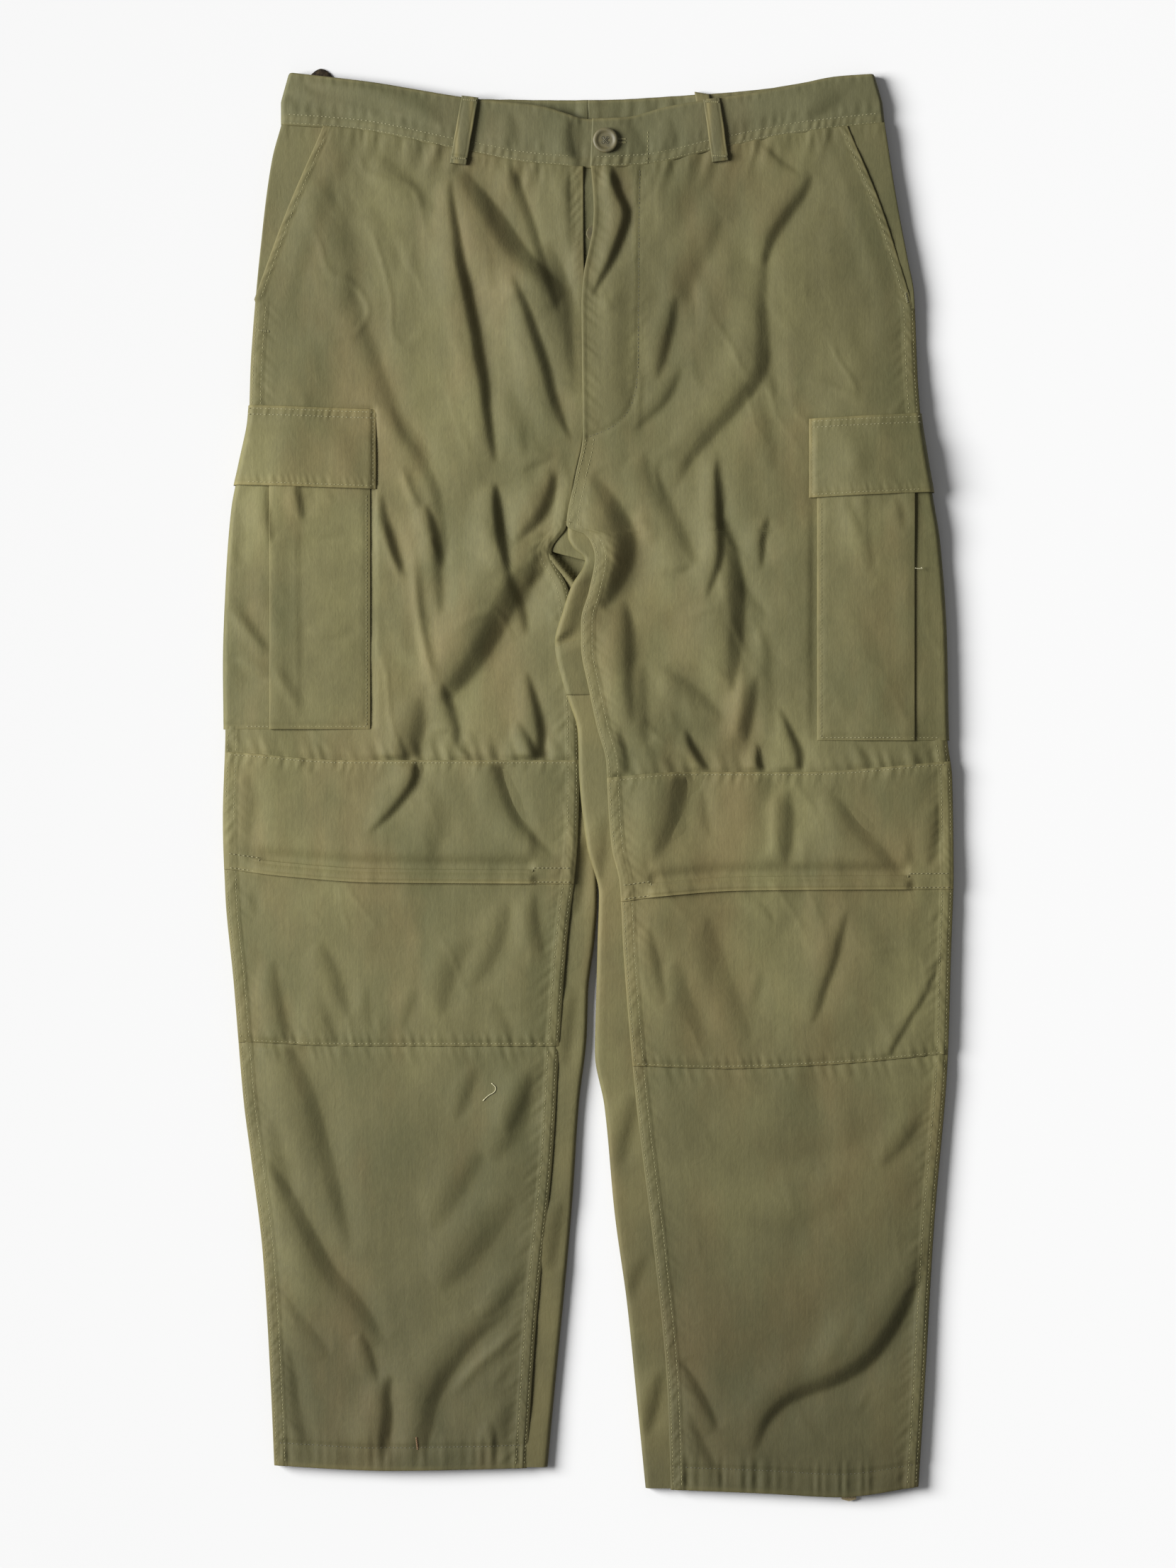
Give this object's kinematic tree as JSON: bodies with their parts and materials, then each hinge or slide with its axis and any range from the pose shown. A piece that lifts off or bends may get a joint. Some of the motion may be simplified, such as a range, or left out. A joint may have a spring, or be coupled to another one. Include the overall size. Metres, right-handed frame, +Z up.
{
  "type": "cargo pants",
  "caption": "Cargo pants laid flat with the front up, legs slightly crossed: button waistband, slanted side pockets, flapped thigh pockets and tucked knee patches.",
  "frame": {"origin": "centre of the rectangle that the garment covers on the surface it lies on", "axes": "+Y towards the waist, +Z up from the surface with the garment's front up, +X towards the wearer's left leg"},
  "size_m": [0.5516, 1.083, 0.0153],
  "materials": {
    "sateen": "washed cotton sateen, olive green, soft sheen",
    "plastic": "dull moulded button, olive green",
    "brass": "dark bronze plating",
    "tape": "woven cotton tape, tan"
  },
  "bodies": {
    "root": {"back_r": "sateen", "back_l": "sateen", "front_r": "sateen", "front_l": "sateen", "knee_patch_r": "sateen", "knee_patch_l": "sateen", "cargo_pouch_r": "sateen", "cargo_pouch_l": "sateen", "cargo_flap_r": "sateen", "cargo_flap_l": "sateen", "pocket_facing_r": "sateen", "pocket_facing_l": "sateen", "waistband_r": "sateen", "waistband_l": "sateen", "belt_loop_front_r": "sateen", "belt_loop_front_l": "sateen", "belt_loop_back_r": "sateen", "belt_loop_back_c": "sateen", "belt_loop_back_l": "sateen", "fly_underlap": "sateen", "seat_patch_l": "sateen", "waist_tab": "sateen", "tab_buckle": "brass", "hem_tape_l": "tape", "waist_button": "plastic", "fly_button": "plastic"}
  },
  "joints": []
}
